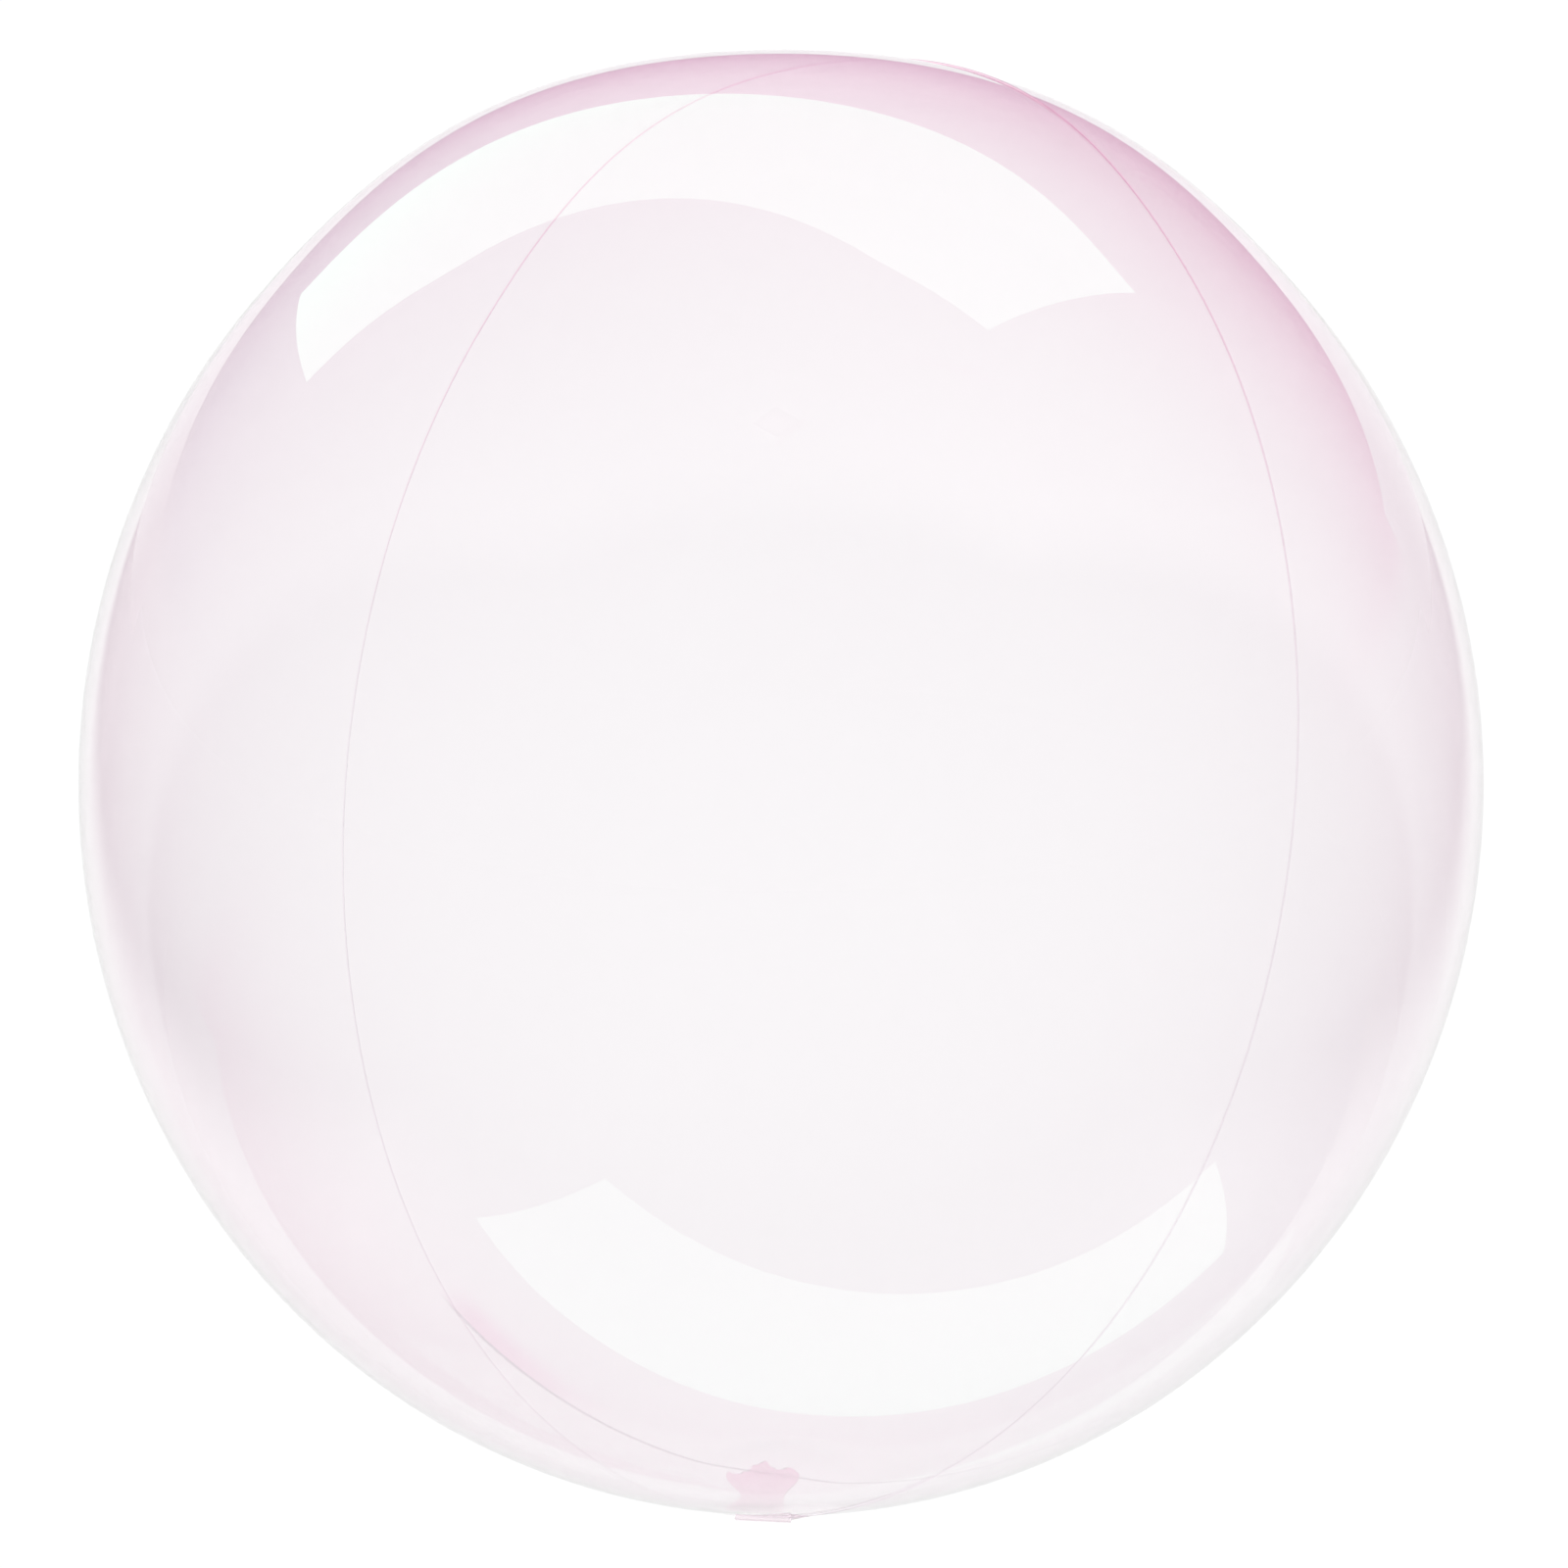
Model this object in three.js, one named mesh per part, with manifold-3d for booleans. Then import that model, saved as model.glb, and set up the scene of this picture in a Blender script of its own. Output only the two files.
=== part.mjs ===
// A clear bubble balloon, in millimetres: two panels of thin stretchy film, welded to each other round
// their edge and blown up to a ball, with the flat filling tail folded over against the ball's end.
// It lies on a small flat spot of its film, just behind the tail, so its crown leans back a little.
// X runs across it, Y runs from front to back, Z is up, and the origin is the flat spot's centre.
import * as THREE from "three";
import { mergeVertices } from "three/addons/utils/BufferGeometryUtils.js";
import Module from "manifold-3d";

// The ball, which is as long as it is filled: a little longer from tail to crown than it is across.
const BALL_LENGTH = 500;
const BALL_WIDTH = 480;
const SHOULDER_SWELL = 0.013; // share by which the shoulder round the crown is fuller than an ellipsoid
const SHOULDER_END = 48; // degrees from the crown to where the fuller shoulder runs out
const LEAN = 15; // degrees that the crown leans back from upright
const SPOT_WIDTH = 52;

// The weld, a circle round the ball in a plane through its centre. The plane holds the long axis and
// faces the right before it is swung round that axis to the back, and then tipped a little off it.
const WELD_SWING = 42.5;
const WELD_TIP = 4.9;
const WELD_GAP = 0.3; // between the two panels' edges
const LIP_HEIGHT = 1; // how far the welded edge stands proud of the film
const LIP_THICKNESS = 0.35; // of each panel's share of the edge

// The filling tail, a flat sleeve that leaves the weld at the neck and folds over to one side.
const NECK_TURN = 3.2; // degrees along the weld from its point nearest the ball's end
const TAIL_WIDTH = 27;
const TAIL_LENGTH = 25;
const TAIL_THICKNESS = 0.8;
const TAIL_CLEARANCE = 0.3; // between the tail's root and the welded edge
const FOLD_RADIUS = 1.5;
const FOLD_OVER = 98; // degrees that the tail turns through, so that its end leans on the film

// How finely the round surfaces are faceted.
const STEPS_ROUND = 80;
const STEPS_OVER = 23;
const STEPS_FOLD = 6;

const FILM_COLOUR = 0xf6e9f0;
const TAIL_COLOUR = 0xf2cfdd;

const wasm = await Module();
wasm.setup();

const radians = THREE.MathUtils.degToRad;
const halfLength = BALL_LENGTH / 2;
const halfWidth = BALL_WIDTH / 2;

// The ball is shaped upright, with its centre at the origin and its crown at +Z, and leans back later.
const leanBack = new THREE.Quaternion().setFromAxisAngle(new THREE.Vector3(1, 0, 0), -radians(LEAN));

// The weld plane's normal, which points to the right and to the back, into the right-hand panel.
const weldNormal = new THREE.Vector3(
  Math.cos(radians(WELD_TIP)) * Math.cos(radians(WELD_SWING)),
  Math.cos(radians(WELD_TIP)) * Math.sin(radians(WELD_SWING)),
  -Math.sin(radians(WELD_TIP)),
);

// Distance from the ball's centre to its film along a unit direction.
function filmRadius(direction) {
  const across = Math.hypot(direction.x, direction.y);
  const ellipsoid = 1 / Math.hypot(across / halfWidth, direction.z / halfLength);
  const fromCrown = Math.atan2(across, direction.z);
  const share = Math.min(fromCrown / radians(SHOULDER_END), 1);
  return ellipsoid * (1 + SHOULDER_SWELL * Math.sin(Math.PI * share) ** 2);
}

// The lowest point of the leaning ball, seen from its centre. The ball is a plain ellipsoid there, so
// the point is where the ellipsoid faces straight down.
function lowestPoint() {
  const down = new THREE.Vector3(0, 0, -1).applyQuaternion(leanBack.clone().invert());
  const reach = Math.hypot(halfWidth * down.x, halfWidth * down.y, halfLength * down.z);
  const squares = new THREE.Vector3(halfWidth ** 2, halfWidth ** 2, halfLength ** 2);
  return down.multiply(squares).divideScalar(reach).applyQuaternion(leanBack);
}

// The flat spot's centre, seen from the ball's centre. So near the end of its long axis the ball is as
// round as a sphere of endRadius, which gives the depth of a spot of this width.
function spotCentre() {
  const endRadius = halfWidth ** 2 / halfLength;
  const depth = endRadius - Math.sqrt(endRadius ** 2 - (SPOT_WIDTH / 2) ** 2);
  return lowestPoint().add(new THREE.Vector3(0, 0, depth));
}

// A panel is half of a round ball with a thin lip round its edge, drawn out to the balloon's own form.
function panelGeometry(side) {
  const edgeHeight = WELD_GAP / 2 + LIP_THICKNESS;
  const lowest = Math.asin(edgeHeight / halfWidth);
  const profile = [];
  for (let i = 0; i <= STEPS_OVER; i++) {
    const angle = THREE.MathUtils.lerp(Math.PI / 2, lowest, i / STEPS_OVER);
    profile.push(new THREE.Vector2(halfWidth * Math.cos(angle), halfWidth * Math.sin(angle)));
  }
  profile[0].x = 0;
  profile.push(new THREE.Vector2(halfWidth + LIP_HEIGHT, edgeHeight));
  profile.push(new THREE.Vector2(halfWidth + LIP_HEIGHT, WELD_GAP / 2));
  profile.push(new THREE.Vector2(0, WELD_GAP / 2));
  profile.reverse(); // from the bottom up, so that the faces point out

  const geometry = new THREE.LatheGeometry(profile, STEPS_ROUND);
  const axis = weldNormal.clone().multiplyScalar(side);
  const turn = new THREE.Quaternion().setFromUnitVectors(new THREE.Vector3(0, 1, 0), axis);
  geometry.applyQuaternion(turn);

  const position = geometry.attributes.position;
  const point = new THREE.Vector3();
  for (let i = 0; i < position.count; i++) {
    point.fromBufferAttribute(position, i);
    const reach = filmRadius(point.clone().normalize());
    point.multiplyScalar(reach / halfWidth);
    position.setXYZ(i, point.x, point.y, point.z);
  }
  return geometry.applyQuaternion(leanBack);
}

// What would lie below the ground, cut off to leave the flat spot.
function groundGeometry() {
  const depth = halfWidth;
  const block = new THREE.BoxGeometry(BALL_WIDTH, BALL_LENGTH, depth);
  return block.translate(0, 0, spotCentre().z - depth / 2);
}

function solidFrom(geometry) {
  const bare = new THREE.BufferGeometry();
  bare.setIndex(geometry.index);
  bare.setAttribute("position", geometry.attributes.position);
  const merged = mergeVertices(bare, 1e-3);
  return new wasm.Manifold(
    new wasm.Mesh({
      numProp: 3,
      vertProperties: merged.attributes.position.array,
      triVerts: new Uint32Array(merged.index.array),
    }),
  );
}

function geometryFrom(solid) {
  const mesh = solid.getMesh();
  const geometry = new THREE.BufferGeometry();
  geometry.setAttribute("position", new THREE.BufferAttribute(mesh.vertProperties, 3));
  geometry.setIndex(new THREE.BufferAttribute(mesh.triVerts, 1));
  geometry.computeVertexNormals();
  return geometry;
}

// The tail's section: a band of even thickness that leaves the weld straight out, folds, and runs on.
function tailShape() {
  const middle = [new THREE.Vector2(0, LIP_HEIGHT + TAIL_CLEARANCE)];
  const foldHeight = LIP_HEIGHT + TAIL_CLEARANCE + TAIL_THICKNESS / 2;
  for (let i = 0; i <= STEPS_FOLD; i++) {
    const angle = (radians(FOLD_OVER) * i) / STEPS_FOLD;
    const along = FOLD_RADIUS * (1 - Math.cos(angle));
    middle.push(new THREE.Vector2(along, foldHeight + FOLD_RADIUS * Math.sin(angle)));
  }
  const heading = new THREE.Vector2(Math.sin(radians(FOLD_OVER)), Math.cos(radians(FOLD_OVER)));
  const end = middle[middle.length - 1].clone().addScaledVector(heading, TAIL_LENGTH);
  middle.push(end);

  const outer = [];
  const inner = [];
  middle.forEach((point, i) => {
    const before = middle[Math.max(i - 1, 0)];
    const after = middle[Math.min(i + 1, middle.length - 1)];
    const along = after.clone().sub(before).normalize();
    const across = new THREE.Vector2(-along.y, along.x).multiplyScalar(TAIL_THICKNESS / 2);
    outer.push(point.clone().add(across));
    inner.push(point.clone().sub(across));
  });
  return new THREE.Shape([...outer, ...inner.reverse()]);
}

function tailGeometry() {
  const geometry = new THREE.ExtrudeGeometry(tailShape(), { depth: TAIL_WIDTH, bevelEnabled: false });
  return geometry.translate(0, 0, -TAIL_WIDTH / 2);
}

// The neck's place on the weld circle, and the directions of the fold, of straight out and of the weld.
function neckFrame() {
  const nearest = new THREE.Vector3(0, 0, -1).projectOnPlane(weldNormal).normalize();
  const outward = nearest.applyAxisAngle(weldNormal, -radians(NECK_TURN));
  const alongWeld = new THREE.Vector3().crossVectors(weldNormal, outward).normalize();
  const place = outward.clone().multiplyScalar(filmRadius(outward));
  const axes = new THREE.Matrix4().makeBasis(weldNormal, outward, alongWeld);
  return { place, axes };
}

function namedMesh(name, geometry, colour) {
  const material = new THREE.MeshStandardMaterial({
    color: colour,
    roughness: 0.05,
    metalness: 0,
    transparent: true,
    opacity: 0.35,
  });
  const mesh = new THREE.Mesh(geometry, material);
  mesh.name = name;
  return mesh;
}

const leftPanel = solidFrom(panelGeometry(-1));
const rightPanel = solidFrom(panelGeometry(1)).subtract(solidFrom(groundGeometry()));

const neck = neckFrame();
const tail = namedMesh("filling_tail", tailGeometry(), TAIL_COLOUR);
tail.quaternion.setFromRotationMatrix(neck.axes);
tail.position.copy(neck.place);
const leaningTail = new THREE.Group();
leaningTail.quaternion.copy(leanBack);
leaningTail.add(tail);

const balloon = new THREE.Group();
balloon.position.copy(spotCentre()).negate();
balloon.add(namedMesh("left_film_panel", geometryFrom(leftPanel), FILM_COLOUR));
balloon.add(namedMesh("right_film_panel", geometryFrom(rightPanel), FILM_COLOUR));
balloon.add(leaningTail);

export default balloon;
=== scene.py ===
# %% [markdown]
# # A clear bubble balloon
#
# The balloon is two round panels of thin, stretchy, pale pink film. They are welded to each other
# round their edge and blown up until they are nearly a ball. A flat sleeve sticks out of the weld
# at one end for filling it, and goes on inside as a flat valve that closes itself.
#
# The CAD model already says where everything is, so the lesson starts by loading it as a fixed
# frame.

# %% Load the frame
import math

import bpy
from mathutils import Matrix, Quaternion, Vector, noise


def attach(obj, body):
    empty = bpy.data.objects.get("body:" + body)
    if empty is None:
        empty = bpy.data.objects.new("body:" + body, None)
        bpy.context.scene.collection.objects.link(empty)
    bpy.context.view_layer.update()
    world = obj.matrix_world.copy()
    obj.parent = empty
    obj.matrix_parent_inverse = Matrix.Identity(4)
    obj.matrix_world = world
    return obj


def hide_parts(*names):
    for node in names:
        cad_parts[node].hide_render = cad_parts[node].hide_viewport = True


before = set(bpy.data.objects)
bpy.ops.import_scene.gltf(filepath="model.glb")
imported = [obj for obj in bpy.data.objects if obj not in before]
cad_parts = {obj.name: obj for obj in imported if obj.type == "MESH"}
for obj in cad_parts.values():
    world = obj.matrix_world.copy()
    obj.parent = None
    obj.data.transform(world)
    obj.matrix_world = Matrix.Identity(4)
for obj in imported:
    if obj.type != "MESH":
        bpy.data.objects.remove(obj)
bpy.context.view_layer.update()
print("frame nodes:", sorted(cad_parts))

# %% [markdown]
# ## The ball's own measures
#
# All the film follows one smooth form: an ellipsoid, a little fuller at the shoulder round its
# crown. It leans back on the flat spot that it lies on. One function gives the distance from the
# ball's centre to the film in any direction. Every piece of film can then be drawn out to that
# form, which is easier than shaping each one by eye and making them meet.

# %% Measures, in metres
BALL_LENGTH = 0.500
BALL_WIDTH = 0.480
SHOULDER_SWELL = 0.013  # share by which the shoulder is fuller than an ellipsoid
SHOULDER_END = math.radians(48)  # from the crown to where the fuller shoulder runs out
LEAN = math.radians(15)
SPOT_WIDTH = 0.052
WELD_SWING = math.radians(42.5)
WELD_TIP = math.radians(4.9)
RIGHT = Vector((1, 0, 0))
BACK = Vector((0, 1, 0))
UP = Vector((0, 0, 1))

half_length = BALL_LENGTH / 2
half_width = BALL_WIDTH / 2
lean_back = Quaternion(RIGHT, -LEAN)
weld_normal = Vector(
    (
        math.cos(WELD_TIP) * math.cos(WELD_SWING),
        math.cos(WELD_TIP) * math.sin(WELD_SWING),
        -math.sin(WELD_TIP),
    )
)


def film_radius(direction):
    """Distance from the ball's centre to its film along a unit direction, crown at +Z."""
    across = math.hypot(direction.x, direction.y)
    ellipsoid = 1 / math.hypot(across / half_width, direction.z / half_length)
    from_crown = math.atan2(across, direction.z)
    share = min(from_crown / SHOULDER_END, 1)
    return ellipsoid * (1 + SHOULDER_SWELL * math.sin(math.pi * share) ** 2)


def ball_centre():
    """Where the ball's centre is when its flat spot lies at the origin."""
    reach = math.hypot(half_width * math.sin(LEAN), half_length * math.cos(LEAN))
    end_radius = half_width**2 / half_length
    depth = end_radius - math.sqrt(end_radius**2 - (SPOT_WIDTH / 2) ** 2)
    forward = (half_length**2 - half_width**2) * math.sin(LEAN) * math.cos(LEAN) / reach
    return Vector((0, forward, reach - depth))


centre = ball_centre()
print("ball centre:", [round(value, 5) for value in centre])

# %% [markdown]
# ## Shader helpers
#
# Each look here depends on where a point is on the balloon or in the room. It could be painted on
# as a picture, but a picture has to be fitted to every piece. A few nodes do it for all of them: a
# place, a distance along a direction, a soft step and a blend. Each has a short function, so that
# a material can be read from top to bottom.

# %% Shader helpers


def math_node(tree, operation, first, second=0.0):
    """Adds a Math node, fed by sockets or plain numbers, and returns its output."""
    node = tree.nodes.new("ShaderNodeMath")
    node.operation = operation
    for socket, value in zip(node.inputs, (first, second)):
        if isinstance(value, (int, float)):
            socket.default_value = value
        else:
            tree.links.new(value, socket)
    return node.outputs["Value"]


def product(tree, first, *others):
    """All the shares given, multiplied together."""
    result = first
    for other in others:
        result = math_node(tree, "MULTIPLY", result, other)
    return result


def dot_with(tree, vector, direction):
    """How far a vector reaches along a direction."""
    node = tree.nodes.new("ShaderNodeVectorMath")
    node.operation = "DOT_PRODUCT"
    tree.links.new(vector, node.inputs[0])
    node.inputs[1].default_value = direction
    return node.outputs["Value"]


def from_point(tree, point):
    """The place on the piece, measured from a point."""
    place = tree.nodes.new("ShaderNodeTexCoord")
    node = tree.nodes.new("ShaderNodeVectorMath")
    node.operation = "SUBTRACT"
    tree.links.new(place.outputs["Object"], node.inputs[0])
    node.inputs[1].default_value = point
    return node.outputs["Vector"]


def ramp(tree, value, low, high):
    """A soft step that rises from 0 at low to 1 at high."""
    node = tree.nodes.new("ShaderNodeMapRange")
    node.interpolation_type = "SMOOTHSTEP"
    tree.links.new(value, node.inputs["Value"])
    node.inputs["From Min"].default_value = low
    node.inputs["From Max"].default_value = high
    return node.outputs["Result"]


def fall(tree, value, low, high):
    """A soft step that falls from 1 at low to 0 at high."""
    return math_node(tree, "SUBTRACT", 1.0, ramp(tree, value, low, high))


def blend_colours(tree, share, first, second):
    """The first colour where the share is 0, and the second where it is 1."""
    node = tree.nodes.new("ShaderNodeMix")
    node.data_type = "RGBA"
    tree.links.new(share, node.inputs["Factor"])
    for socket, colour in zip((node.inputs["A"], node.inputs["B"]), (first, second)):
        if isinstance(colour, tuple):
            socket.default_value = colour
        else:
            tree.links.new(colour, socket)
    return node.outputs["Result"]


def clear_plastic(name, index):
    """A material that lets all light through, and its shader, still without a tint."""
    material = bpy.data.materials.new(name)
    material.use_nodes = True
    shader = material.node_tree.nodes["Principled BSDF"]
    shader.inputs["Transmission Weight"].default_value = 1
    shader.inputs["Roughness"].default_value = 0
    shader.inputs["IOR"].default_value = index
    return material, shader


# %% [markdown]
# ## The clear film
#
# Clear film hardly has a colour of its own: it is seen by what it mirrors. So it is a glass shader
# with full transmission, no roughness and the index of a soft plastic. Its pale pink shows where
# the eye looks along the film. Round the crown and near the weld it is pinker and darker: the
# film's own pink with painted shade on it, for the darker room that the top mirrors. The colour
# therefore runs from nearly clear to pink by how far the film faces away, by its height towards
# the crown and by its distance from the weld. At the very edge it is painted paler, a painted
# highlight on the band mirrored there. Low down, edge included, it is painted greyer: painted
# shade on what the low film mirrors.

# %% Clear film material
FILM_INDEX = 1.45
FILM_CLEAR = (0.995, 0.984, 0.990, 1)
# Painted shade on the film's own pink towards the crown.
CROWN_CLEAR_WITH_SHADE = (0.982, 0.962, 0.973, 1)
FILM_GRAZING = (0.925, 0.860, 0.895, 1)
# Painted shade on the film's own pink, round the crown near the weld.
FILM_CROWN_PINK_AND_SHADE = (0.915, 0.800, 0.860, 1)
# Painted shade: the film is greyer low down.
FILM_PAINTED_LOW_SHADE = (0.880, 0.855, 0.870, 1)
# Painted highlight: the film is paler at the very edge.
FILM_PAINTED_EDGE_HIGHLIGHT = (0.972, 0.925, 0.948, 1)
# Painted shade: the edge is greyer low down.
FILM_PAINTED_LOW_EDGE_SHADE = (0.885, 0.845, 0.872, 1)
CROWN_RANGE = (-0.05, 0.25)  # towards the crown, where the crown's pink and painted shade come in
LOW_SHADE_RANGE = (-0.22, -0.10)  # towards the crown, where the painted low shade gives way
LOW_EDGE_SHADE_RANGE = (-0.17, -0.06)
WELD_REACH = 0.24  # from the weld, where the crown's pink and painted shade have died away
TURNED_POWER = 1.3
EDGE_RANGE = (0.70, 0.90)  # of the facing value, which is 1 where the film is seen edge on

crown_direction = lean_back @ UP
weld_direction = lean_back @ weld_normal


def tint_film(tree):
    """The film's tint with its painted shade and highlight, by place and turn, before the shade
    line.
    """
    from_centre = from_point(tree, centre)
    towards_crown = dot_with(tree, from_centre, crown_direction)
    weld_distance = math_node(tree, "ABSOLUTE", dot_with(tree, from_centre, weld_direction))
    near_crown = ramp(tree, towards_crown, *CROWN_RANGE)
    # Painted shade on the film's own pink, round the crown near the weld.
    crown_pink_and_shade = product(tree, near_crown, fall(tree, weld_distance, 0.0, WELD_REACH))
    # Where the painted shade low down gives way.
    above_low_shade = ramp(tree, towards_crown, *LOW_SHADE_RANGE)
    above_low_edge_shade = ramp(tree, towards_crown, *LOW_EDGE_SHADE_RANGE)
    facing = tree.nodes.new("ShaderNodeLayerWeight")
    facing.inputs["Blend"].default_value = 0.5
    turned = math_node(tree, "POWER", facing.outputs["Facing"], TURNED_POWER)
    # The edge, with its painted highlight above and its painted shade low down.
    at_edge = ramp(tree, facing.outputs["Facing"], *EDGE_RANGE)

    side_colour = blend_colours(tree, above_low_shade, FILM_PAINTED_LOW_SHADE, FILM_GRAZING)
    edge_colour = blend_colours(tree, above_low_edge_shade, FILM_PAINTED_LOW_EDGE_SHADE, FILM_PAINTED_EDGE_HIGHLIGHT)
    side_colour = blend_colours(tree, at_edge, side_colour, edge_colour)
    side_colour = blend_colours(tree, crown_pink_and_shade, side_colour, FILM_CROWN_PINK_AND_SHADE)
    front_colour = blend_colours(tree, near_crown, FILM_CLEAR, CROWN_CLEAR_WITH_SHADE)
    return blend_colours(tree, turned, front_colour, side_colour)


film, film_shader = clear_plastic("clear_film", FILM_INDEX)
film_colour = tint_film(film.node_tree)
print("film nodes:", len(film.node_tree.nodes))

# %% [markdown]
# ## Painted shade where the ball lies
#
# A thin line of painted shade runs under the ball, low on the film where the ball meets the
# floor: a little greyer than the rest, with a pinker painted patch at its left end. The line is
# far thinner than it is long, so it is a tint along a plane, and it stops where the film rises
# away from the floor.

# %% Paint shade where the ball lies
# Painted shade where the ball meets the floor: a greyer line and a pinker patch.
FILM_PAINTED_SHADE_LINE = (0.80, 0.76, 0.79, 1)
FILM_PAINTED_SHADE_PATCH = (0.95, 0.84, 0.90, 1)
SHADE_LINE_POINT = Vector((-0.024, 0.006, 0.013))
SHADE_LINE_ACROSS = Vector((-0.34, -0.85, 0.41)).normalized()
SHADE_LINE_TOP = (0.020, 0.032)  # above the shade line's point, where it dies away
SHADE_LINE_SOFT_EDGE = (0.0004, 0.0011)
SHADE_PATCH_START = 0.0005
SHADE_PATCH_SOFT_EDGE = (0.004, 0.016)
SHADE_PATCH_LEFT = (0.03, 0.08)  # left of the shade line's point, where the pinker painted patch comes in


def painted_shade_shares(tree):
    """How much each place on the film is on the painted shade line, and on its pinker painted patch.
    """
    from_shade_line = from_point(tree, SHADE_LINE_POINT)
    past_shade_line = dot_with(tree, from_shade_line, SHADE_LINE_ACROSS)
    behind_shade_line = math_node(tree, "MULTIPLY", past_shade_line, -1.0)
    low = fall(tree, dot_with(tree, from_shade_line, UP), *SHADE_LINE_TOP)
    left = ramp(tree, dot_with(tree, from_shade_line, -RIGHT), *SHADE_PATCH_LEFT)
    line = fall(tree, math_node(tree, "ABSOLUTE", past_shade_line), *SHADE_LINE_SOFT_EDGE)
    started = ramp(tree, behind_shade_line, -SHADE_PATCH_START, SHADE_PATCH_START)
    not_ended = fall(tree, behind_shade_line, *SHADE_PATCH_SOFT_EDGE)
    return product(tree, line, low), product(tree, started, low, not_ended, left)


painted_shade_line, painted_shade_patch = painted_shade_shares(film.node_tree)
# Paints the shade line and its pinker patch onto the film.
film_colour = blend_colours(film.node_tree, painted_shade_patch, film_colour, FILM_PAINTED_SHADE_PATCH)
film_colour = blend_colours(film.node_tree, painted_shade_line, film_colour, FILM_PAINTED_SHADE_LINE)
film.node_tree.links.new(film_colour, film_shader.inputs["Base Color"])
print("film nodes with the crease:", len(film.node_tree.nodes))

# %% [markdown]
# ## Working on a piece
#
# Every piece starts as a primitive and goes through the same few steps: it is named and opened for
# editing, cut or drawn out, turned into its place, and given its wall by a modifier. The steps
# that more than one piece needs are functions.

# %% Steps that pieces share
WAVE_HEIGHT = 0.00004
WAVE_LENGTH = 0.05
SPOT_SOFTNESS = 0.0004
SPOT_REACH = 0.01  # above the floor, past which the flat spot changes nothing


def start_piece(name):
    """Names the primitive that was just added, and opens it in edit mode with nothing selected."""
    piece = bpy.context.object
    piece.name = name
    piece.data.name = name
    bpy.ops.object.mode_set(mode="EDIT")
    bpy.ops.mesh.select_mode(type="VERT")
    bpy.ops.mesh.select_all(action="DESELECT")
    return piece


def select_faces(piece, wanted):
    """Selects, in edit mode, the faces whose centre and normal the test accepts."""
    bpy.ops.object.mode_set(mode="EDIT")
    bpy.ops.mesh.select_mode(type="FACE")
    bpy.ops.mesh.select_all(action="DESELECT")
    bpy.ops.object.mode_set(mode="OBJECT")
    for face in piece.data.polygons:
        face.select = wanted(face.center, face.normal)
    bpy.ops.object.mode_set(mode="EDIT")


def turn_into_place(piece, turn, location=(0, 0, 0)):
    """Turns and moves a piece, and keeps that in its mesh."""
    piece.rotation_mode = "QUATERNION"
    piece.rotation_quaternion = turn
    piece.location = location
    bpy.ops.object.transform_apply(location=True, rotation=True, scale=False)


def blow_up(piece):
    """Draws a round piece out to the balloon's form, then leans it back and puts it in its place."""
    for vertex in piece.data.vertices:
        reach = film_radius(vertex.co.normalized())
        vertex.co *= reach / half_width
        vertex.co *= 1 + WAVE_HEIGHT / half_width * noise.noise(vertex.co / WAVE_LENGTH)
    turn_into_place(piece, lean_back, centre)


def rest_on_spot(piece):
    """Presses the film flat where it lies, with a soft turn from the flat to the round."""
    for vertex in piece.data.vertices:
        height = vertex.co.z
        if height < SPOT_REACH:
            vertex.co.z = (height + math.hypot(height, SPOT_SOFTNESS)) / 2


def add_wall(piece, thickness, even):
    """Gives a sheet its wall, inwards from the form that it was drawn out to."""
    solidify = piece.modifiers.new("wall", "SOLIDIFY")
    solidify.thickness = thickness
    solidify.offset = -1
    solidify.use_even_offset = even
    bpy.ops.object.modifier_apply(modifier=solidify.name)


def finish_piece(piece, material):
    """Gives a piece its look and its place in the frame. Thin film throws no shadow worth seeing."""
    piece.data.materials.append(material)
    piece.visible_shadow = False
    piece.visible_diffuse = False
    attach(piece, "root")
    print(piece.name, len(piece.data.polygons), "faces")


# %% [markdown]
# ## The two film panels
#
# Each panel is half of the ball. A sphere primitive has its rings round one axis, so it is cut
# across that axis with a bisect, and the axis then becomes the weld's own. Film is far too thin
# to model by hand, so a Solidify modifier gives it its wall at the end.

# %% Make the film panels
FILM_SEGMENTS = 320
FILM_RINGS = 160
FILM_THICKNESS = 0.0001
FILM_SMOOTH_ANGLE = math.radians(35)
WELD_GAP = 0.00003


def film_panel(name, axis):
    """Half of the ball, on the side of the weld that the axis points to."""
    bpy.ops.object.select_all(action="DESELECT")
    bpy.ops.mesh.primitive_uv_sphere_add(
        segments=FILM_SEGMENTS, ring_count=FILM_RINGS, radius=half_width
    )
    panel = start_piece(name)
    bpy.ops.mesh.select_all(action="SELECT")
    bpy.ops.mesh.bisect(plane_co=(0, 0, WELD_GAP / 2), plane_no=UP, clear_inner=True)
    bpy.ops.object.mode_set(mode="OBJECT")
    turn_into_place(panel, UP.rotation_difference(axis))
    blow_up(panel)
    rest_on_spot(panel)
    add_wall(panel, FILM_THICKNESS, even=True)
    bpy.ops.object.shade_smooth_by_angle(angle=FILM_SMOOTH_ANGLE)
    finish_piece(panel, film)
    return panel


left_panel = film_panel("left_panel", -weld_normal)
right_panel = film_panel("right_panel", weld_normal)
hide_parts("left_film_panel")
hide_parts("right_film_panel")

# %% [markdown]
# ## The pressed weld
#
# Where the two panels meet, their edges are pressed into one narrow lip that stands a little
# proud of the ball, all the way round. It is a thin ring: a torus of the same size, flattened a
# little across the weld, drawn out to the ball's form like the panels were. It is pinkest round
# the crown and pales below. Its index is close to the air's, so it tints what is seen through it
# and hardly bends it.

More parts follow.
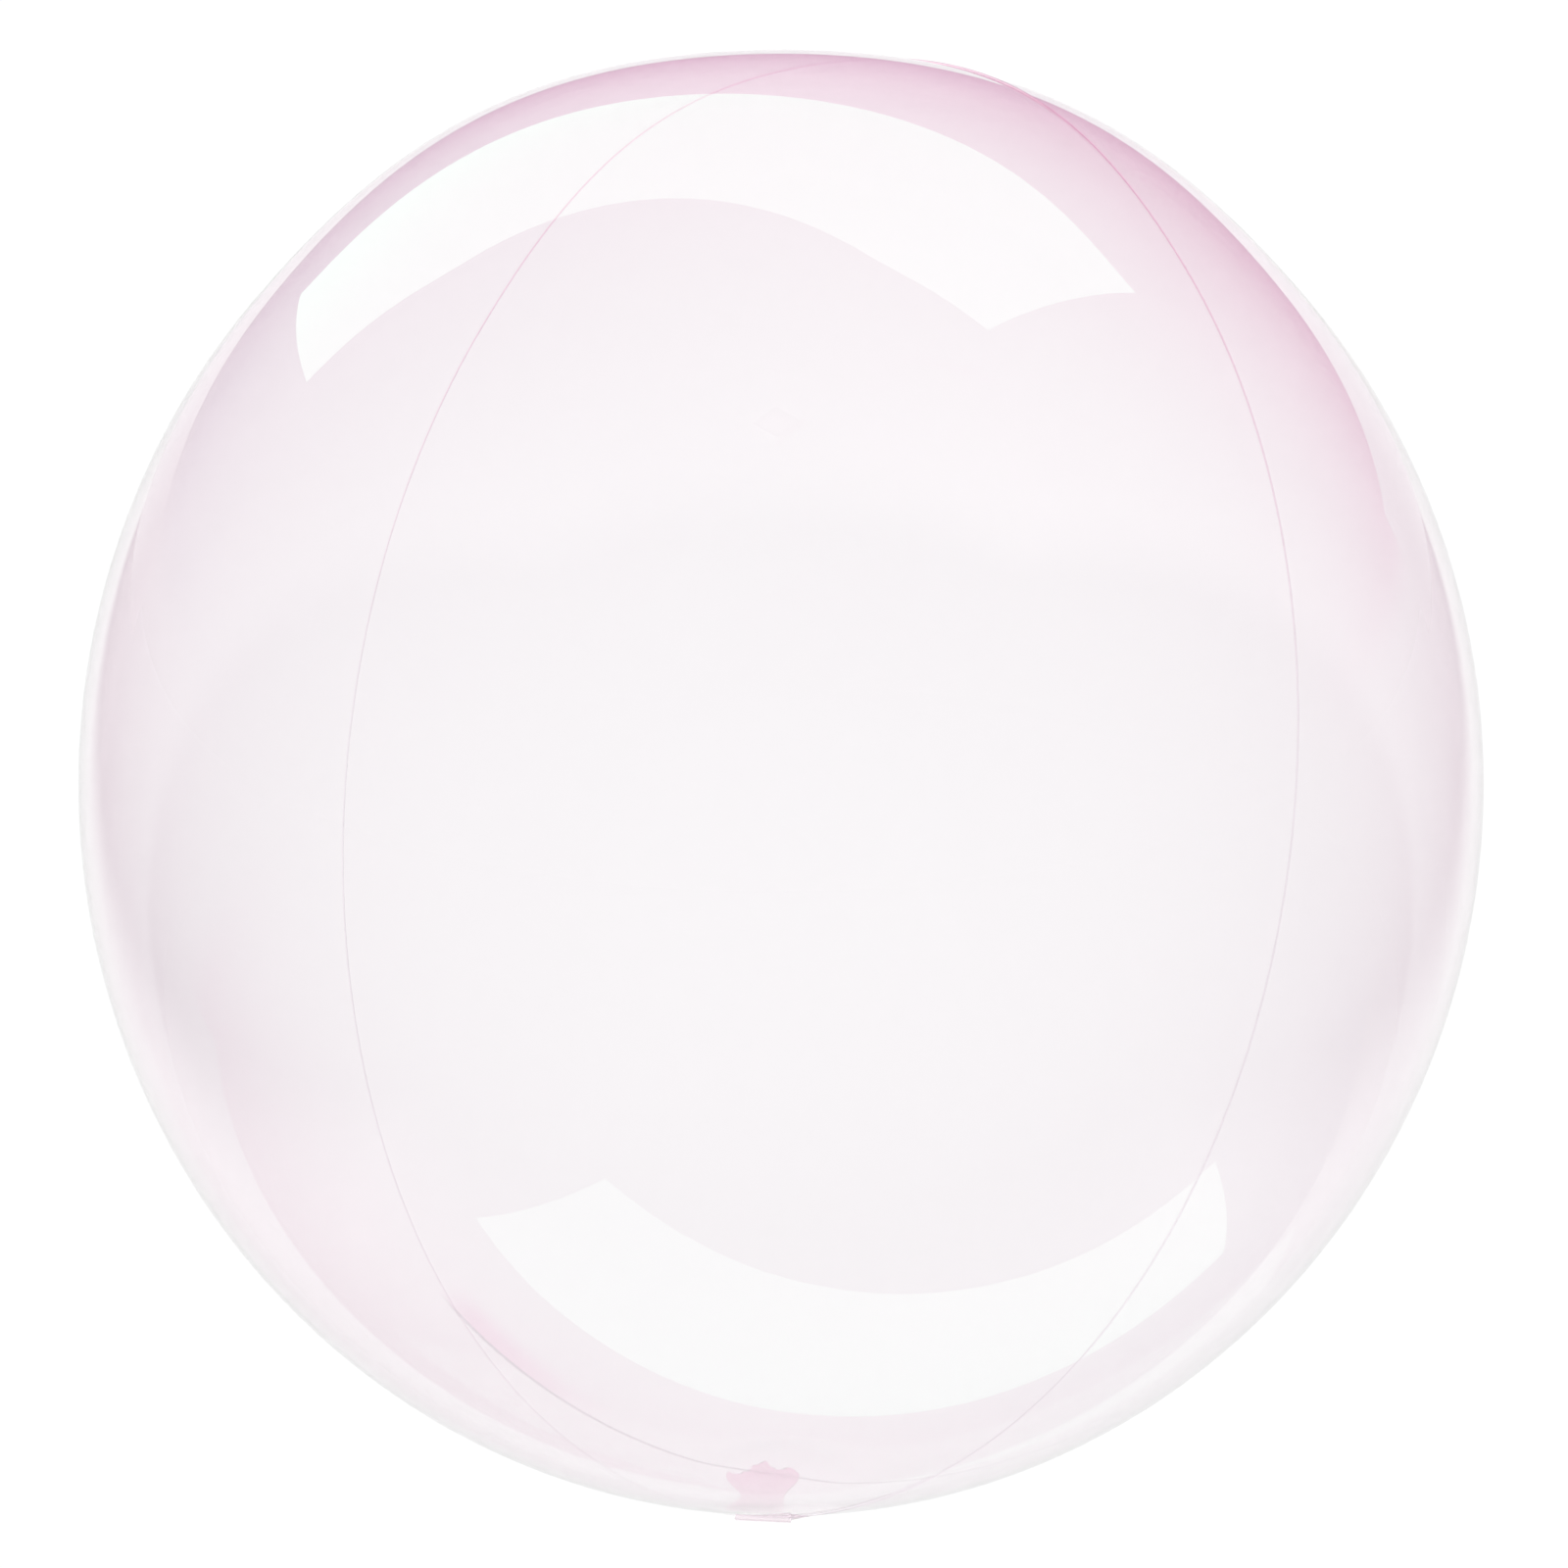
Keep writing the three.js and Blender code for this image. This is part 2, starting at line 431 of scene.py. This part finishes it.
# %% Make the weld
WELD_RADIUS = 0.0003
WELD_SIDES = 8
WELD_FLATNESS = 0.8
WELD_INDEX = 1.05
WELD_PINK = (0.97, 0.72, 0.84, 1)
WELD_PALE = (0.96, 0.92, 0.95, 1)
WELD_PINK_RANGE = (0.0, 0.24)  # towards the crown, where the pink comes in


def weld_material():
    """Clear plastic that is pink towards the crown and pale below."""
    material, shader = clear_plastic("pressed_weld", WELD_INDEX)
    tree = material.node_tree
    towards_crown = dot_with(tree, from_point(tree, centre), crown_direction)
    colour = blend_colours(tree, ramp(tree, towards_crown, *WELD_PINK_RANGE), WELD_PALE, WELD_PINK)
    tree.links.new(colour, shader.inputs["Base Color"])
    return material


bpy.ops.object.select_all(action="DESELECT")
bpy.ops.mesh.primitive_torus_add(
    major_segments=FILM_SEGMENTS,
    minor_segments=WELD_SIDES,
    major_radius=half_width + WELD_RADIUS + WELD_GAP,
    minor_radius=WELD_RADIUS,
)
weld = start_piece("weld_lip")
bpy.ops.mesh.select_all(action="SELECT")
bpy.ops.transform.resize(value=(1, 1, WELD_FLATNESS), center_override=(0, 0, 0))
bpy.ops.object.mode_set(mode="OBJECT")
turn_into_place(weld, UP.rotation_difference(weld_normal))
blow_up(weld)
bpy.ops.object.shade_smooth()
finish_piece(weld, weld_material())

# %% [markdown]
# ## Sleeve film
#
# The tail and the valve are both flat sleeves of two layers. Film that lies on film is a little
# milky, and has hardly any air between its layers to bend the light, so its index is low. Both
# are made round the neck, with X the way the tail folds, Y straight out of the ball and Z along
# the weld, and are then moved to where the neck is.

# %% Steps that the sleeves share
NECK_TURN = math.radians(3.2)  # along the weld from its point nearest the ball's end
SLEEVE_WALL = 0.00018
SLEEVE_ROUGHNESS = 0.15
SLEEVE_SMOOTH_ANGLE = math.radians(40)


def neck_matrix():
    """The neck's place on the weld."""
    nearest = -UP
    nearest = (nearest - weld_normal * nearest.dot(weld_normal)).normalized()
    outward = Quaternion(weld_normal, -NECK_TURN) @ nearest
    along_weld = weld_normal.cross(outward)
    turn = Matrix((weld_normal, outward, along_weld)).transposed().to_4x4()
    to_place = Matrix.Translation(outward * film_radius(outward))
    return Matrix.Translation(centre) @ lean_back.to_matrix().to_4x4() @ to_place @ turn


def sleeve_plastic(name, colour, clearness, index):
    """Slightly milky plastic, and its shader."""
    material, shader = clear_plastic(name, index)
    shader.inputs["Base Color"].default_value = colour
    shader.inputs["Transmission Weight"].default_value = clearness
    shader.inputs["Roughness"].default_value = SLEEVE_ROUGHNESS
    return material, shader


def finish_sleeve(piece, material):
    """Gives a flat sleeve its thin wall, puts it at the neck and gives it its material."""
    bpy.ops.object.mode_set(mode="OBJECT")
    add_wall(piece, SLEEVE_WALL, even=False)
    bpy.ops.object.shade_smooth_by_angle(angle=SLEEVE_SMOOTH_ANGLE)
    piece.matrix_world = neck_matrix()
    bpy.ops.object.transform_apply(location=True, rotation=True, scale=True)
    finish_piece(piece, material)


print("neck:", [round(value, 4) for value in neck_matrix().translation])

# %% [markdown]
# ## The filling tail
#
# The tail is sealed along both sides and open at the end. It comes out of the weld and folds over
# to the right. It is modelled flat and wide as it is, from a flattened cube: its end face is spun
# round the fold and then drawn out. Both end faces are then taken away, so that the wall that
# Solidify adds leaves the sleeve hollow.
#
# One fault is left in this step: the spin turns towards the ball instead of away from it, so the
# far end of the tail lies about 2 mm inside the film, where the frame's own tail lies outside it.

# %% Make the filling tail
TAIL_WIDTH = 0.027
TAIL_LENGTH = 0.025
TAIL_STEPS = 5
TAIL_PINK = (0.99, 0.93, 0.96, 1)
TAIL_CLEARNESS = 0.7
TAIL_INDEX = 1.15
SLEEVE_DEPTH = 0.0008
ROOT_HEIGHT = 0.0013  # out from the film
FOLD_RADIUS = 0.0015
FOLD_OVER = math.radians(98)
FOLD_STEPS = 8
END_FACING = 0.9  # least part of an end face's normal that runs straight out or straight in

bpy.ops.object.select_all(action="DESELECT")
bpy.ops.mesh.primitive_cube_add(
    size=1,
    location=(0, ROOT_HEIGHT + SLEEVE_DEPTH / 4, 0),
    scale=(SLEEVE_DEPTH, SLEEVE_DEPTH / 2, TAIL_WIDTH),
)
tail = start_piece("tail_sleeve")
bpy.ops.object.mode_set(mode="OBJECT")
bpy.ops.object.transform_apply(location=True, rotation=False, scale=True)
select_faces(tail, lambda middle, normal: normal.y > END_FACING)
bpy.ops.mesh.spin(
    steps=FOLD_STEPS,
    angle=-FOLD_OVER,
    center=(FOLD_RADIUS, ROOT_HEIGHT + SLEEVE_DEPTH / 2, 0),
    axis=UP,
)
heading = Vector((math.sin(FOLD_OVER), math.cos(FOLD_OVER), 0))
for _ in range(TAIL_STEPS):
    bpy.ops.mesh.extrude_region_move(
        TRANSFORM_OT_translate={"value": heading * TAIL_LENGTH / TAIL_STEPS}
    )
bpy.ops.mesh.delete(type="ONLY_FACE")
select_faces(tail, lambda middle, normal: normal.y < -END_FACING and middle.x < SLEEVE_DEPTH / 2)
bpy.ops.mesh.delete(type="ONLY_FACE")
finish_sleeve(tail, sleeve_plastic("sleeve_film", TAIL_PINK, TAIL_CLEARNESS, TAIL_INDEX)[0])
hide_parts("filling_tail")

# %% [markdown]
# ## The valve
#
# Inside the ball the sleeve runs on as a flat tube, whose two layers the air presses together. It
# stands up from the neck in the plane of the weld. Its free end was cut by hand: it is ragged,
# with one high lobe and a lower one, and flares out where nothing holds it. Its foot spreads to
# one side, where it is welded in, and is a little pinker. It starts as an open cylinder, squashed
# flat and subdivided, whose points are then moved like cloth.

# %% Make the valve
VALVE_HALF_WIDTH = 0.0105
VALVE_LENGTH = 0.0125
VALVE_DEPTH = 0.0004
VALVE_ROOT = 0.0008  # from the film in to the valve's foot
TOP_FLARE = 0.0075
FOOT_FLARE = 0.0085
HIGH_LOBE = 0.0055
LOW_LOBE = 0.0036
RAGGEDNESS = 0.0016
WIDE_RIPPLE = 0.0009
FINE_RIPPLE = 0.0001
VALVE_SIDES = 24
VALVE_CUTS = 11
VALVE_PINK = (0.985, 0.895, 0.94, 1)
VALVE_FOOT = (0.980, 0.830, 0.905, 1)
VALVE_INDEX = 1.08
FOOT_RANGE = (0.009, 0.018)  # above the floor, where the foot's pink gives way


def soft_step(value, low, high):
    """Rises smoothly from 0 at low to 1 at high."""
    share = min(max((value - low) / (high - low), 0), 1)
    return share * share * (3 - 2 * share)


def lobe(across, middle, spread):
    """A smooth bump, 1 high at its middle."""
    return math.exp(-(((across - middle) / spread) ** 2))


def valve_point(through, along, across):
    """A point of the tube: along runs from 0 at the foot to 1, the other two from -1 to 1."""
    half = VALVE_HALF_WIDTH + TOP_FLARE * soft_step(along, 0.4, 0.9)
    half += FOOT_FLARE * soft_step(across, -0.2, 1) * (1 - soft_step(along, 0, 0.45))
    length = VALVE_LENGTH + HIGH_LOBE * lobe(across, 0.05, 0.38)
    length += LOW_LOBE * lobe(across, -0.75, 0.22)
    length += RAGGEDNESS * noise.noise(Vector((across * 6, 0.3, 0.8)))
    aside = across * half
    ripple = WIDE_RIPPLE * along * math.sin(4 * across + 1) + FINE_RIPPLE * math.sin(21 * across)
    curve_of_ball = aside**2 / (2 * half_width)
    return Vector(
        (through * VALVE_DEPTH + ripple, -VALVE_ROOT - curve_of_ball - along * length, aside)
    )


def valve_material():
    """Sleeve film that is pinker towards the valve's foot."""
    material, shader = sleeve_plastic("valve_film", VALVE_PINK, 1, VALVE_INDEX)
    tree = material.node_tree
    height = dot_with(tree, from_point(tree, Vector((0, 0, 0))), UP)
    colour = blend_colours(tree, ramp(tree, height, *FOOT_RANGE), VALVE_FOOT, VALVE_PINK)
    tree.links.new(colour, shader.inputs["Base Color"])
    return material


bpy.ops.object.select_all(action="DESELECT")
bpy.ops.mesh.primitive_cylinder_add(
    vertices=VALVE_SIDES,
    radius=1,
    depth=1,
    end_fill_type="NOTHING",
    rotation=(math.radians(90), 0, 0),
)
valve = start_piece("valve_tube")
bpy.ops.mesh.select_all(action="SELECT")
bpy.ops.mesh.subdivide(number_cuts=VALVE_CUTS)
bpy.ops.object.mode_set(mode="OBJECT")
bpy.ops.object.transform_apply(location=False, rotation=True, scale=False)
for vertex in valve.data.vertices:
    vertex.co = valve_point(vertex.co.x, 0.5 - vertex.co.y, vertex.co.z)
bpy.ops.object.mode_set(mode="EDIT")
bpy.ops.mesh.select_all(action="SELECT")
bpy.ops.mesh.normals_make_consistent(inside=False)
finish_sleeve(valve, valve_material())

# %% [markdown]
# ## The floor
#
# The balloon lies on a pale floor with a pool of light painted on it. Clear film mirrors the whole
# room at its rim, so the floor is painted white, as a pool of light, only where it is near the
# balloon or behind it, and fades to painted shade, grey, at the sides and in front. That fade is
# what gives the film its soft darker edges. The grey far out takes the room's own tone in each
# direction, so that no horizon shows in the film.

# %% Make the floor
FLOOR_SIZE = 60
# A painted pool of light, white by the balloon, and painted shade, grey, far from it.
FLOOR_PAINTED_LIGHT_POOL = (0.92, 0.92, 0.92, 1)
FLOOR_PAINTED_SHADE_LEFT = (0.27, 0.26, 0.29, 1)
FLOOR_PAINTED_SHADE_RIGHT = (0.46, 0.42, 0.45, 1)
FLOOR_PAINTED_SHADE_FAR = (0.625, 0.535, 0.59, 1)
POOL_HALF_WIDTH = 0.295
POOL_WIDENING = 0.45  # for each metre back
POOL_FRONT = 0.1
SIDE_FADE = 0.3
FRONT_FADE = 0.26
SIDE_RANGE = (-0.6, 0.6)  # of how far to the right a direction points
BACK_RANGE = (-0.05, 0.9)  # of how far to the back a direction points


def light_pool_ends(tree, place):
    """How far the floor has faded out of its painted pool of light into painted shade."""
    split = tree.nodes.new("ShaderNodeSeparateXYZ")
    tree.links.new(place, split.inputs["Vector"])
    sideways = math_node(tree, "ABSOLUTE", split.outputs["X"])
    widening = math_node(tree, "MULTIPLY", split.outputs["Y"], -POOL_WIDENING)
    from_side = math_node(tree, "ADD", sideways, widening)
    past_side = math_node(tree, "ADD", from_side, -POOL_HALF_WIDTH)
    past_front = math_node(tree, "SUBTRACT", -POOL_FRONT, split.outputs["Y"])
    side_fade = ramp(tree, past_side, 0.0, SIDE_FADE)
    front_fade = ramp(tree, past_front, 0.0, FRONT_FADE)
    return math_node(tree, "MAXIMUM", side_fade, front_fade)


def floor_painted_light_pool():
    """Matt paint: a painted pool of light by the balloon, painted shade in the room's tone far from
    it.
    """
    material = bpy.data.materials.new("floor_painted_light_pool")
    material.use_nodes = True
    tree = material.node_tree
    shader = tree.nodes["Principled BSDF"]
    shader.inputs["Roughness"].default_value = 1
    shader.inputs["Specular IOR Level"].default_value = 0
    place = tree.nodes.new("ShaderNodeTexCoord").outputs["Object"]
    direction = tree.nodes.new("ShaderNodeVectorMath")
    direction.operation = "NORMALIZE"
    tree.links.new(place, direction.inputs[0])
    rightness = ramp(tree, dot_with(tree, direction.outputs["Vector"], RIGHT), *SIDE_RANGE)
    backness = ramp(tree, dot_with(tree, direction.outputs["Vector"], BACK), *BACK_RANGE)
    outer = blend_colours(tree, rightness, FLOOR_PAINTED_SHADE_LEFT, FLOOR_PAINTED_SHADE_RIGHT)
    outer = blend_colours(tree, backness, outer, FLOOR_PAINTED_SHADE_FAR)
    # Paints the pool of light by the balloon and the shade round it.
    colour = blend_colours(tree, light_pool_ends(tree, place), FLOOR_PAINTED_LIGHT_POOL, outer)
    tree.links.new(colour, shader.inputs["Base Color"])
    return material


bpy.ops.object.select_all(action="DESELECT")
bpy.ops.mesh.primitive_plane_add(size=FLOOR_SIZE)
floor = bpy.context.object
floor.name = "floor"
floor.data.materials.append(floor_painted_light_pool())
print("floor size:", round(floor.dimensions.x, 1))

# %% [markdown]
# ## Studio light
#
# A wide, soft light overhead lights the floor evenly. A sun lamp with a wide angle gives that
# light without falling off across the floor. It isn't mirrored in the film.

# %% Make the ceiling light
CEILING_STRENGTH = 1.97
CEILING_ANGLE = math.radians(60)

sun_data = bpy.data.lights.new("ceiling_light", "SUN")
sun_data.energy = CEILING_STRENGTH
sun_data.angle = CEILING_ANGLE
sun_data.cycles.use_multiple_importance_sampling = False
sun = bpy.data.objects.new("ceiling_light", sun_data)
bpy.context.collection.objects.link(sun)
sun.visible_glossy = False
sun.visible_transmission = False
print("ceiling light strength:", round(sun_data.energy, 2))

# %% [markdown]
# ## The room
#
# Clear film shows mostly what it mirrors, so the room's own tone matters. The room is paler and
# pinker behind the balloon than on the camera's side, and its low part takes the tone of the
# floor's far edge. A few soft ramps on the direction of view give this with no picture of a room.
# The floor itself is lit by a plain grey room, so that no tint falls on it.

# %% Make the room
ROOM_BACK_LEFT = (0.60, 0.50, 0.60, 1)
ROOM_BACK_MIDDLE = (0.82, 0.51, 0.69, 1)
ROOM_BACK_RIGHT = (0.62, 0.25, 0.44, 1)
ROOM_BACK_LOW = (0.70, 0.60, 0.66, 1)
ROOM_FRONT_LEFT = (0.30, 0.29, 0.33, 1)
ROOM_FRONT_RIGHT = (0.52, 0.47, 0.51, 1)
ROOM_PLAIN = (0.5, 0.5, 0.5, 1)
BACK_LEFT_RANGE = (-0.6, 0.0)
BACK_RIGHT_RANGE = (0.0, 0.45)
HORIZON_RANGE = (0.02, 0.12)

world = bpy.data.worlds.new("studio")
bpy.context.scene.world = world
world.use_nodes = True
world.cycles.sampling_method = "NONE"
room = world.node_tree
view = room.nodes.new("ShaderNodeTexCoord").outputs["Generated"]
rightwards = dot_with(room, view, RIGHT)
backness = ramp(room, dot_with(room, view, BACK), *BACK_RANGE)
high = ramp(room, dot_with(room, view, UP), *HORIZON_RANGE)
left_share = ramp(room, rightwards, *BACK_LEFT_RANGE)
right_share = ramp(room, rightwards, *BACK_RIGHT_RANGE)
front_share = ramp(room, rightwards, *SIDE_RANGE)
back_colour = blend_colours(room, left_share, ROOM_BACK_LEFT, ROOM_BACK_MIDDLE)
back_colour = blend_colours(room, right_share, back_colour, ROOM_BACK_RIGHT)
front_colour = blend_colours(room, front_share, ROOM_FRONT_LEFT, ROOM_FRONT_RIGHT)
high_colour = blend_colours(room, backness, front_colour, back_colour)
low_colour = blend_colours(room, backness, front_colour, ROOM_BACK_LOW)
room_colour = blend_colours(room, high, low_colour, high_colour)
path = room.nodes.new("ShaderNodeLightPath")
room_light = blend_colours(room, path.outputs["Is Diffuse Ray"], room_colour, ROOM_PLAIN)
room.links.new(room_light, room.nodes["Background"].inputs["Color"])
print("room nodes:", len(room.nodes))

# %% [markdown]
# ## Backdrop
#
# A long white card stands far behind the balloon. The camera doesn't see it, but the film
# mirrors it as the bright bands at the two sides of the outline. One plane with a soft glow
# that fades at both ends into the room's tone is enough.

# %% Make the backdrop
BACKDROP_DISTANCE = 5.5
BACKDROP_WIDTH = 11.0
BACKDROP_HEIGHT = 1.8
BACKDROP_TILT = math.radians(-2.5)
BACKDROP_WHITE = (1.1, 1.07, 1.09, 1)
BACKDROP_END = (0.68, 0.58, 0.64, 1)
BACKDROP_FADE = (0.12, 0.48)  # from its middle, as a share of its width


def glowing_paint(name, strength):
    """A material that only glows, and its emission node."""
    material = bpy.data.materials.new(name)
    material.use_nodes = True
    tree = material.node_tree
    tree.nodes.clear()
    emission = tree.nodes.new("ShaderNodeEmission")
    emission.inputs["Strength"].default_value = strength
    output = tree.nodes.new("ShaderNodeOutputMaterial")
    tree.links.new(emission.outputs["Emission"], output.inputs["Surface"])
    return material, emission


def only_mirrored(stage_object):
    """Keeps a lamp or card out of the picture itself, and off the floor's light."""
    stage_object.visible_camera = False
    stage_object.visible_diffuse = False
    stage_object.visible_shadow = False


def backdrop_paint():
    """White in the middle, fading at both ends into the room's own colour."""
    material, emission = glowing_paint("backdrop_glow", 1)
    tree = material.node_tree
    place = tree.nodes.new("ShaderNodeTexCoord").outputs["Object"]
    past_middle = math_node(tree, "ABSOLUTE", dot_with(tree, place, RIGHT))
    faded = ramp(tree, past_middle, *BACKDROP_FADE)
    colour = blend_colours(tree, faded, BACKDROP_WHITE, BACKDROP_END)
    tree.links.new(colour, emission.inputs["Color"])
    return material


bpy.ops.object.select_all(action="DESELECT")
bpy.ops.mesh.primitive_plane_add(
    size=1,
    location=(0, BACKDROP_DISTANCE, 0),
    rotation=(math.radians(90), BACKDROP_TILT, 0),
)
backdrop = bpy.context.object
backdrop.scale = (BACKDROP_WIDTH, BACKDROP_HEIGHT, 1)
backdrop.name = "backdrop"
backdrop.data.materials.append(backdrop_paint())
only_mirrored(backdrop)
print("backdrop scale:", [round(value, 2) for value in backdrop.scale])

# %% [markdown]
# ## Soft lamp
#
# One long soft lamp hangs above and behind. The near film mirrors it as the large curved
# highlight at the top, and the far film as the same shape upside down at the bottom. Its edges
# are bowed, so the lamp is a strip of faces between two curved lines. Each line is set by its
# two ends and by the point that it bows towards. The film takes out some green, so the lamp has
# a little more of it and the highlight comes out white.

# %% Make the lamp
LAMP_FRONT_EDGE = ((-5.18, 3.80, 3.47), (-1.09, 1.90, 6.10), (1.25, 0.07, 2.88))
LAMP_BACK_EDGE = ((-2.07, 3.39, 1.39), (1.01, 5.51, 6.02), (1.36, 0.94, 1.82))
LAMP_STEPS = 24
LAMP_STRENGTH = 1.08
LAMP_COLOUR = (1, 1.31, 1.14, 1)


def bowed_edge(start, middle, end):
    """Points along a lamp's edge, which bows towards the middle point."""
    points = []
    for step in range(LAMP_STEPS + 1):
        share = step / LAMP_STEPS
        first = Vector(start).lerp(Vector(middle), share)
        second = Vector(middle).lerp(Vector(end), share)
        points.append(first.lerp(second, share))
    return points


row = LAMP_STEPS + 1
lamp_points = bowed_edge(*LAMP_FRONT_EDGE) + bowed_edge(*LAMP_BACK_EDGE)
lamp_faces = [(step, step + 1, step + row + 1, step + row) for step in range(LAMP_STEPS)]
lamp_mesh = bpy.data.meshes.new("soft_lamp")
lamp_mesh.from_pydata(lamp_points, [], lamp_faces)
lamp = bpy.data.objects.new("soft_lamp", lamp_mesh)
bpy.context.collection.objects.link(lamp)
lamp_paint, lamp_emission = glowing_paint("lamp_glow", LAMP_STRENGTH)
lamp_emission.inputs["Color"].default_value = LAMP_COLOUR
lamp.data.materials.append(lamp_paint)
only_mirrored(lamp)
print("lamp faces:", len(lamp_mesh.polygons))

# %% [markdown]
# ## Camera
#
# The camera looks at the balloon's middle from the front, and down by the angle that the
# balloon leans back. A long lens keeps the outline nearly round.

# %% Make the camera
CAMERA_DISTANCE = 2.125
CAMERA_ASIDE = 0.001
CAMERA_LENS = 142

camera_data = bpy.data.cameras.new("camera")
camera_data.lens = CAMERA_LENS
camera = bpy.data.objects.new("camera", camera_data)
bpy.context.collection.objects.link(camera)
camera.location = centre + Vector(
    (CAMERA_ASIDE, -CAMERA_DISTANCE * math.cos(LEAN), CAMERA_DISTANCE * math.sin(LEAN))
)
camera.rotation_euler = (math.radians(90) - LEAN, 0, 0)
bpy.context.scene.camera = camera
bpy.context.scene.view_settings.view_transform = "Standard"
print("camera height:", round(camera.location.z, 3))
